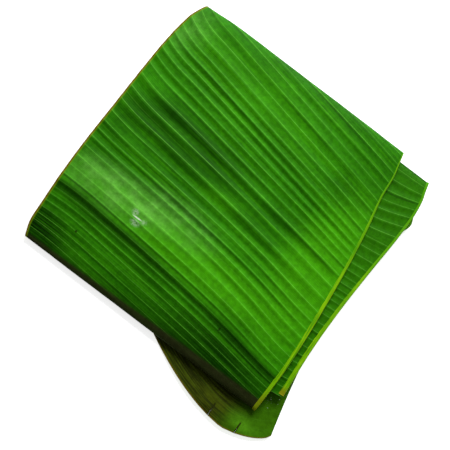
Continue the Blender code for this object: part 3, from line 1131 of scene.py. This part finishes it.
@dataclass(frozen=True)
class LowerSide:
    """The leaf's lower side: plain green by the midrib, streaked olive towards the margin, and a
    painted highlight by the tip.
    """

    grain: Grain = (2.3, 4.0, 0.65)
    streaks: Span = (0.40, 0.62)
    drift: float = 0.05
    green_from: Span = (0.130, 0.168)
    vein_tone: float = 0.06
    painted_tip_highlight: Patch = Patch(0.134, 0.034, 0.022, 0.013, 0.62)
    speck_layer: float = 7.0
    speck_grain: Grain = (330.0, 1.0)
    specks: Span = (0.66, 0.71)
    speck_patch: Patch = Patch(0.1475, 0.0715, 0.009, 0.012, 1.0, 0.5)

    def colour(self, made: Nodes, reads: BladeReads, pale: Source) -> Socket:
        """Builds the side's colour.

        Args:
            made: the material's nodes.
            reads: the places and noises on the strip.
            pale: how strongly a vein line shows at each place.
        Returns:
            The colour.
        """
        streaks = made.ramp(made.noise(reads.along, *self.grain), *self.streaks)
        olive = made.mix(streaks, LEAF.umber, LEAF.olive)
        edge = made.math("MULTIPLY_ADD", reads.clouds, self.drift, reads.x)
        below = made.mix(made.ramp(edge, *self.green_from), olive, LEAF.under_green)
        # Painted highlight by the tip
        below = made.mix(self.painted_tip_highlight.weight(made, reads), below, LEAF.painted_highlight)
        below = made.mix(made.times(pale, self.vein_tone), below, LEAF.vein)
        layer = made.combine(reads.x, reads.distance, self.speck_layer)
        specks = made.ramp(made.noise(layer, *self.speck_grain), *self.specks)
        near = self.speck_patch.weight(made, reads)
        return made.mix(made.times(specks, near), below, LEAF.fleck)


@dataclass(frozen=True)
class EdgeMarks:
    """The margin's yellow border and thin dried line, the tip's brown rim, and the tears."""

    border: Span = (3.0 * MM, 1.4 * MM, 0.0, 0.8)
    line: Span = (1.7 * MM, 1.0 * MM)
    rim: Span = (1.6 * MM, 0.4 * MM, 0.0, 0.8)
    tear_side: Span = (1.7 * MM, 0.7 * MM)
    tear_fade: Pair = (4 * MM, 1 * MM)
    tear_tone: float = 0.95

    def over(self, made: Nodes, reads: BladeReads, colour: Source,
             surface: LeafSurface) -> Socket:
        """Lays the marks over a colour.

        Args:
            made: the material's nodes.
            reads: the places on the strip.
            colour: the colour below.
            surface: the blade's surface, for its tears and its width.
        Returns:
            The marked colour.
        """
        margin, rim = made.attribute("to_margin"), made.attribute("to_rim")
        colour = made.mix(made.ramp(margin, *self.border), colour, LEAF.border)
        colour = made.mix(made.ramp(margin, *self.line), colour, LEAF.dried)
        colour = made.mix(made.ramp(rim, *self.rim), colour, LEAF.dried)
        for share, depth, _ in surface.tears.cuts:
            side = made.times(made.off(reads.across, share), surface.outline.width)
            end = [depth + fade for fade in self.tear_fade]
            tear = made.times(made.ramp(side, *self.tear_side), made.ramp(rim, *end),
                              self.tear_tone)
            colour = made.mix(tear, colour, LEAF.umber)
        return colour


@dataclass(frozen=True)
class BladeFinish:
    """The waxy skin of the blade: its two sides with their painted light, shade and sheen, its edge
    marks, and a fine grain on all.
    """

    upper: UpperSide = UpperSide()
    lower: LowerSide = LowerSide()
    vein_lines: VeinLines = VeinLines()
    edge_marks: EdgeMarks = EdgeMarks()
    cloud_grain: Grain = (11.0, 3.0)
    streak_stretch: Pair = (3.0, 2.2)
    streak_grain: Grain = (1.0, 3.0, 0.6)
    veinlets: float = 8.0
    mottle_grain: Grain = (190.0, 5.0, 0.7)
    mottle: Span = (0.30, 0.70, 0.80, 1.18)
    roughness: Span = (0.2, 0.8, 0.38, 0.54)
    specular: float = 0.08
    sheen_tint: Colour = (0.18, 1.0, 0.04, 1.0)
    skin_grain: Grain = (900.0, 2.0)
    skin_share: float = 0.5
    veinlet_share: float = 0.6
    bump_height: float = 0.00010
    bump_strength: float = 0.6

    def reads(self, made: Nodes) -> BladeReads:
        """Sets up what the finish's parts read.

        Args:
            made: the material's nodes.
        Returns:
            The places on the strip, two cloudy noises, and a wave for the fine veinlets.
        """
        place, x = made.place()
        vein, across = made.attribute("vein"), made.attribute("across")
        by_vein, by_share = self.streak_stretch
        along = made.combine(made.times(vein, by_vein), made.times(across, by_share), 0.0)
        wave = made.math("SINE", made.times(vein, 2 * math.pi * self.veinlets))
        return BladeReads(
            place=place, x=x, vein=vein, across=across, distance=made.attribute("distance"),
            along=along, clouds=made.noise(place, *self.cloud_grain),
            streaks=made.noise(along, *self.streak_grain), veinlet=made.ramp(wave, -1.0, 1.0))

    def material(self, surface: LeafSurface) -> bpy.types.Material:
        """Builds the node tree.

        Args:
            surface: the blade's surface, for its tears and its width.
        Returns:
            The material.
        """
        made = Nodes.start("leaf_blade")
        reads = self.reads(made)
        pale = self.vein_lines.weight(made, reads)
        colour = made.mix(made.attribute("lower_face"), self.upper.colour(made, reads, pale),
                          self.lower.colour(made, reads, pale))
        mottle = made.ramp(made.noise(reads.place, *self.mottle_grain), *self.mottle)
        colour = made.mix(1.0, colour, made.combine(mottle, mottle, mottle), "MULTIPLY")
        colour = self.edge_marks.over(made, reads, colour, surface)
        made.put(colour, made.shader.inputs["Base Color"])
        made.put(made.ramp(reads.streaks, *self.roughness), made.shader.inputs["Roughness"])
        made.sheen(self.specular, self.sheen_tint)
        grain = made.times(made.noise(reads.place, *self.skin_grain), self.skin_share)
        made.bump(made.math("MULTIPLY_ADD", reads.veinlet, self.veinlet_share, grain),
                  self.bump_height, self.bump_strength)
        return made.material


@dataclass(frozen=True)
class MidribFinish:
    """The strip of midrib: lime skin, greener above and inside, a browned cut face, fibres."""

    lime: Colour = srgb(142, 196, 7)
    green: Colour = srgb(70, 146, 5)
    cut: Colour = srgb(128, 138, 14)
    browned: Colour = srgb(128, 92, 14)
    fibre_stretch: Pair = (30.0, 900.0)
    fibre_grain: Grain = (1.0, 3.0)
    fibres: Span = (0.3, 0.7)
    inner_start: Span = (0.80, 1.00)
    inner_end: Span = (1.05, 1.28, 0.95, 0.10)
    upper_green: Span = (0.40, 0.60, 0.80, 0.0)
    brown_stretch: float = 60.0
    brown_scale: float = 1.0
    brown: Span = (0.35, 0.65)
    cut_face: Span = (0.5 * MM, 0.1 * MM, 0.0, 0.4)
    fold_start: Span = (0.690, 0.712, 0.0, 0.7)
    fold_end: Span = (0.760, 0.730)
    cut_end: Span = (1.318, 1.328)
    roughness: float = 0.5
    specular: float = 0.10
    sheen_tint: Colour = (0.5, 1.0, 0.05, 1.0)
    bump_height: float = 0.00025
    bump_strength: float = 0.7

    def material(self) -> bpy.types.Material:
        """Builds the node tree.

        Returns:
            The material.
        """
        made = Nodes.start("midrib_strip")
        inward, distance = made.attribute("inward"), made.attribute("distance")
        by_distance, by_inward = self.fibre_stretch
        stretched = made.combine(made.times(distance, by_distance),
                                 made.times(inward, by_inward), 0.0)
        fibres = made.noise(stretched, *self.fibre_grain)
        skin = made.mix(made.ramp(fibres, *self.fibres), self.green, self.lime)
        inner = made.times(made.ramp(distance, *self.inner_start),
                           made.ramp(distance, *self.inner_end))
        greener = made.math("MAXIMUM", inner, made.ramp(distance, *self.upper_green))
        skin = made.mix(greener, skin, self.green)
        blotches = made.noise(made.combine(made.times(distance, self.brown_stretch), 0.0, 0.0),
                              self.brown_scale)
        cut = made.mix(made.ramp(blotches, *self.brown), self.cut, self.browned)
        colour = made.mix(made.ramp(inward, *self.cut_face), skin, cut)
        at_fold = made.times(made.ramp(distance, *self.fold_start),
                             made.ramp(distance, *self.fold_end))
        at_end = made.ramp(distance, *self.cut_end)
        colour = made.mix(made.math("MAXIMUM", at_fold, at_end), colour, cut)
        made.put(colour, made.shader.inputs["Base Color"])
        made.put(self.roughness, made.shader.inputs["Roughness"])
        made.sheen(self.specular, self.sheen_tint)
        made.bump(fibres, self.bump_height, self.bump_strength)
        return made.material


@dataclass
class Blade:
    """The whole blade as one fine closed sheet."""

    surface: LeafSurface
    thickness: float = 0.0005
    columns: int = 39
    edge_bunch: float = 0.5
    row_counts: dict[Layer, int] = field(default_factory=lambda: {
        Layer.UNDER: 4, Layer.COVER: 13, Layer.RETURN: 4, Layer.INNER: 7})
    fold_rows: int = 10
    fold_margin: float = 0.010
    tip_veins: int = 4
    tip_rows: int = 10
    crest_bunch: float = 0.45
    rim_angles: tuple[float, ...] = (60.0, 20.0, -20.0, -60.0)
    end_angles: tuple[float, ...] = (70.0, 38.0)

    def row_veins(self) -> np.ndarray:
        """Vein numbers of the rows: more for each vein on the cover, in folds and at the tip.

        Within a vein's interval the rows stand closer together towards both crests, as a
        half cosine wave puts them.

        Returns:
            The vein numbers, in order.
        """
        folds = self.surface.roll.folds()
        outline, veins = self.surface.outline, self.surface.veins
        numbers = np.arange(veins.last).astype(float)
        roots = veins.distance(numbers)
        ends = veins.run(numbers, np.ones(len(numbers)), outline)
        rows: list[np.ndarray] = []
        for number, root, end in zip(numbers, roots, ends):
            count = self.row_counts[Layer(int(np.searchsorted(folds, root)))]
            if any(end - self.fold_margin < fold < root + self.fold_margin for fold in folds):
                count = max(count, self.fold_rows)
            if number < self.tip_veins:
                count = self.tip_rows
            even = np.arange(count) / count
            bunched = 0.5 - 0.5 * np.cos(np.pi * even)
            rows.append(number + (1 - self.crest_bunch) * even + self.crest_bunch * bunched)
        return np.append(np.concatenate(rows), veins.last)

    def across(self, vein: np.ndarray) -> np.ndarray:
        """Shares of the width: closer together at the edges, and at the tears.

        Args:
            vein: the rows' vein numbers.
        Returns:
            The shares, rows by columns.
        """
        even = np.linspace(0.0, 1.0, self.columns)
        bunched = 0.5 - 0.5 * np.cos(np.pi * even)
        main = (1 - self.edge_bunch) * even + self.edge_bunch * bunched
        tears = self.surface.tears
        tip = tears.columns(main, self.surface.outline.width)
        fade = ease(vein / tears.grid_pull)[:, None]
        return tip * (1 - fade) + main * fade

    def build(self) -> bpy.types.Object:
        """Makes the mesh.

        Each row is a closed loop: along the upper face, round the margin, back along the
        lower face and round the midrib side. Half-round rims taper both ends.

        Returns:
            The blade's object.
        """
        numbers = self.row_veins()
        share = self.across(numbers)
        vein = np.repeat(numbers[:, None], self.columns, axis=1)
        middle, distance = self.surface.points(vein, share)
        along, sideways = unit(np.gradient(middle, axis=0)), unit(np.gradient(middle, axis=1))
        normal = unit(np.cross(sideways, along))
        half = self.thickness / 2

        ends, last = np.radians(self.end_angles), len(numbers) - 1
        pick = np.concatenate([np.zeros(len(ends), int), np.arange(last + 1),
                               np.full(len(ends), last)])
        push = half * np.concatenate([-np.sin(ends), np.zeros(last + 1), np.sin(ends[::-1])])
        reach = half * np.concatenate([np.cos(ends), np.ones(last + 1), np.cos(ends[::-1])])
        reach = reach[:, None, None]
        middle = middle[pick] + along[pick] * push[:, None, None]
        normal, sideways = normal[pick], sideways[pick]

        def rim(column: int, outward: float) -> list[np.ndarray]:
            """The half-round edge at one column.

            Args:
                column: 0 for the midrib side, -1 for the margin.
                outward: 1 where the edge faces along the columns, -1 where it faces back.
            Returns:
                One column of points for each angle round the edge.
            """
            side = slice(column, column + 1) if column >= 0 else slice(column, None)
            return [middle[:, side] + reach * (
                sideways[:, side] * outward * math.cos(angle)
                + normal[:, side] * outward * math.sin(angle))
                for angle in np.radians(self.rim_angles)]

        upper, lower = middle + normal * reach, (middle - normal * reach)[:, ::-1]
        points = np.concatenate([upper, *rim(-1, 1.0), lower, *rim(0, -1.0)], axis=1)
        rows, loop = points.shape[:2]
        quads = np.concatenate([loop_faces(rows, loop), self.cap(0, loop, True),
                                self.cap((rows - 1) * loop, loop, False)])
        piece = new_piece("blade", points, quads.tolist())
        self.store(piece, vein[pick], share[pick], distance[pick])
        return piece

    def store(self, piece: bpy.types.Object, vein: np.ndarray, share: np.ndarray,
              distance: np.ndarray) -> None:
        """Stores what the material reads: the strip's own coordinates and its edges' nearness.

        Args:
            piece: the blade.
            vein: vein numbers, rows by columns.
            share: shares of the width.
            distance: distances along the strip.
        """
        outline, bend = self.surface.outline, len(self.rim_angles)
        width = smooth_through(outline.midrib, distance) - smooth_through(outline.margin, distance)
        rim = self.surface.veins.run(np.zeros_like(vein), share, outline)

        def around(values: np.ndarray) -> np.ndarray:
            """The grid's values carried round the loops."""
            return np.concatenate([values, np.repeat(values[:, -1:], bend, axis=1),
                                   values[:, ::-1], np.repeat(values[:, :1], bend, axis=1)], axis=1)

        columns = share.shape[1]
        turn = np.linspace(0.0, 1.0, bend)
        face = np.concatenate([np.zeros(columns), turn, np.ones(columns), turn[::-1]])
        add_attribute(piece, "vein", around(vein))
        add_attribute(piece, "across", around(share))
        add_attribute(piece, "distance", around(distance))
        add_attribute(piece, "to_margin", around((1 - share) * width))
        add_attribute(piece, "to_rim", around(distance - rim))
        add_attribute(piece, "lower_face", np.tile(face, (len(share), 1)))

    def cap(self, first: int, loop: int, flip: bool) -> np.ndarray:
        """Quads that close an end loop, upper points against the lower ones facing them.

        Args:
            first: index of the loop's first point.
            loop: number of points in the loop, an even number.
            flip: whether the cap faces back along the rows.
        Returns:
            The quads.
        """
        order = (np.arange(loop) - len(self.rim_angles) // 2) % loop
        near, far = order[:loop // 2], order[::-1][:loop // 2]
        quads = np.stack([near[:-1], near[1:], far[1:], far[:-1]], -1) + first
        return quads[:, ::-1] if flip else quads


@dataclass
class MidribStrip:
    """The strip of midrib that the knife left along the blade's edge."""

    surface: LeafSurface
    widths: Stations = ((0.36, 0.0010), (0.42, 0.0020), (0.50, 0.0032), (0.60, 0.0040),
                        (0.71, 0.0042), (1.00, 0.0034), (1.08, 0.0028), (1.20, 0.0038),
                        (1.33, 0.0056))
    heights: Stations = ((0.36, 0.00035), (0.50, 0.00070), (0.71, 0.00100), (1.33, 0.00100))
    profile: Stations = ((0.0, -0.75), (-0.03, -0.45), (-0.045, 0.0), (-0.03, 0.45), (0.01, 0.80),
                         (0.10, 0.98), (0.28, 0.95), (0.52, 0.72), (0.78, 0.42), (1.0, 0.16),
                         (1.0, -0.16), (0.78, -0.30), (0.52, -0.50), (0.28, -0.70),
                         (0.10, -0.82))
    start: float = 0.36
    rows_per_vein: int = 8
    second_column: float = 0.012

    def build(self) -> bpy.types.Object:
        """Sweeps the strip's profile along the blade's cut edge.

        The profile's first number is the share of the strip's width inward from the edge,
        and its second the share of its half height along the blade's normal. The width and
        the half height follow smooth curves along the strip. The blade's normal comes from
        its edge and a second column close to it.

        Returns:
            The strip's object.
        """
        veins = self.surface.veins
        numbers = np.arange(0, veins.last, 1 / self.rows_per_vein)
        numbers = numbers[veins.distance(numbers) > self.start]
        vein, share = np.meshgrid(numbers, np.array((0.0, self.second_column)),
                                  indexing="ij")
        edge, distance = self.surface.points(vein, share)
        along = unit(np.gradient(edge[:, 0], axis=0))
        normal = unit(np.cross(unit(edge[:, 1] - edge[:, 0]), along))
        inward = unit(np.cross(along, normal))
        width = smooth_through(self.widths, distance[:, 0])[:, None]
        height = smooth_through(self.heights, distance[:, 0])[:, None]
        in_share, up_share = np.array(self.profile).T
        points = (edge[:, :1] + inward[:, None] * (in_share * width)[..., None]
                  + normal[:, None] * (up_share * height)[..., None])
        rows, loop = points.shape[:2]
        ring, base = np.arange(loop), (rows - 1) * loop
        after = (ring + 1) % loop
        first, last = np.full(loop, rows * loop), np.full(loop, rows * loop + 1)
        fans = np.concatenate([np.stack([ring, after, first], -1),
                               np.stack([base + after, base + ring, last], -1)])
        flat = np.concatenate([points.reshape(-1, 3), points[[0, -1]].mean(axis=1)])
        piece = new_piece("midrib_strip", flat, loop_faces(rows, loop)[:, ::-1].tolist()
                          + fans[:, ::-1].tolist())
        inner = np.concatenate([(np.maximum(in_share, 0.0) * width).reshape(-1), (0.0, 0.0)])
        add_attribute(piece, "inward", inner)
        add_attribute(piece, "distance", np.concatenate(
            [np.repeat(distance[:, 0], loop), distance[[0, -1], 0]]))
        return piece


@dataclass
class Studio:
    """Pale floor, soft light from beyond the top fold, and the photograph's camera."""

    target: tuple[float, float, float] = (0.0045, -0.0135, 0.0088)
    elevation: float = 68.0
    roll: float = 37.3
    distance: float = 1.05
    lens: float = 82.35
    sensor: float = 36.0
    floor_half: float = 3.0
    floor_colour: Colour = (0.9, 0.9, 0.9, 1.0)
    floor_roughness: float = 0.9
    floor_glow: float = 0.70
    white: Colour = (1.0, 1.0, 1.0, 1.0)
    key_azimuth: float = 12.0
    key_elevation: float = 36.0
    key_distance: float = 1.6
    key_size: float = 1.1
    key_power: float = 36.0
    fill: float = 0.24

    def floor(self) -> None:
        """A plain pale floor."""
        half = self.floor_half
        corners = np.array([(-half, -half, 0.0), (half, -half, 0.0), (half, half, 0.0),
                            (-half, half, 0.0)])
        floor = new_piece("floor", corners, [[0, 1, 2, 3]])
        made = Nodes.start("floor_white")
        made.shader.inputs["Base Color"].default_value = self.floor_colour
        made.shader.inputs["Roughness"].default_value = self.floor_roughness
        made.shader.inputs["Emission Color"].default_value = self.white
        made.shader.inputs["Emission Strength"].default_value = self.floor_glow
        floor.data.materials.append(made.material)

    def lights(self) -> None:
        """A large soft key light beyond the top fold, and an even pale sky."""
        turn, rise = math.radians(self.key_azimuth), math.radians(self.key_elevation)
        aim = Vector(self.target)
        away = Vector((-math.sin(turn) * math.cos(rise), math.cos(turn) * math.cos(rise),
                       math.sin(rise)))
        data = bpy.data.lights.new("key", "AREA")
        data.shape = "SQUARE"
        data.size = self.key_size
        data.energy = self.key_power
        key = bpy.data.objects.new("key", data)
        key.location = aim + away * self.key_distance
        key.rotation_euler = (-away).to_track_quat("-Z", "Y").to_euler()
        bpy.context.scene.collection.objects.link(key)
        world = bpy.data.worlds.new("sky")
        world.use_nodes = True
        sky = world.node_tree.nodes["Background"]
        sky.inputs["Color"].default_value = self.white
        sky.inputs["Strength"].default_value = self.fill
        bpy.context.scene.world = world
        bpy.context.scene.view_settings.view_transform = "Standard"

    def camera(self) -> None:
        """Looks down from the low-fold side, rolled so that the packet lies turned."""
        rise, roll = math.radians(self.elevation), math.radians(self.roll)
        forward = Vector((0.0, math.cos(rise), -math.sin(rise)))
        right = Vector((1.0, 0.0, 0.0))
        up = right.cross(forward)
        turned_right = right * math.cos(roll) + up * math.sin(roll)
        turned_up = up * math.cos(roll) - right * math.sin(roll)
        data = bpy.data.cameras.new("camera")
        data.lens = self.lens
        data.sensor_width = self.sensor
        camera = bpy.data.objects.new("camera", data)
        place = Vector(self.target) - forward * self.distance
        axes = Matrix((turned_right, turned_up, -forward)).transposed().to_4x4()
        camera.matrix_world = Matrix.Translation(place) @ axes
        bpy.context.scene.collection.objects.link(camera)
        bpy.context.scene.camera = camera


def main() -> None:
    """Builds the pieces in order, then the studio."""
    logging.basicConfig(level=logging.INFO, format="%(name)s: %(message)s")
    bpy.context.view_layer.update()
    surface = LeafSurface()
    studio = Studio()
    studio.camera()
    blade = Blade(surface).build()
    place_in_frame(blade, BladeFinish().material(surface))
    LOG.info("blade: %d faces", len(blade.data.polygons))
    strip = MidribStrip(surface).build()
    place_in_frame(strip, MidribFinish().material())
    LOG.info("midrib strip: %d faces", len(strip.data.polygons))
    studio.floor()
    studio.lights()
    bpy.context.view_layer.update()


if __name__ == "__main__":
    main()
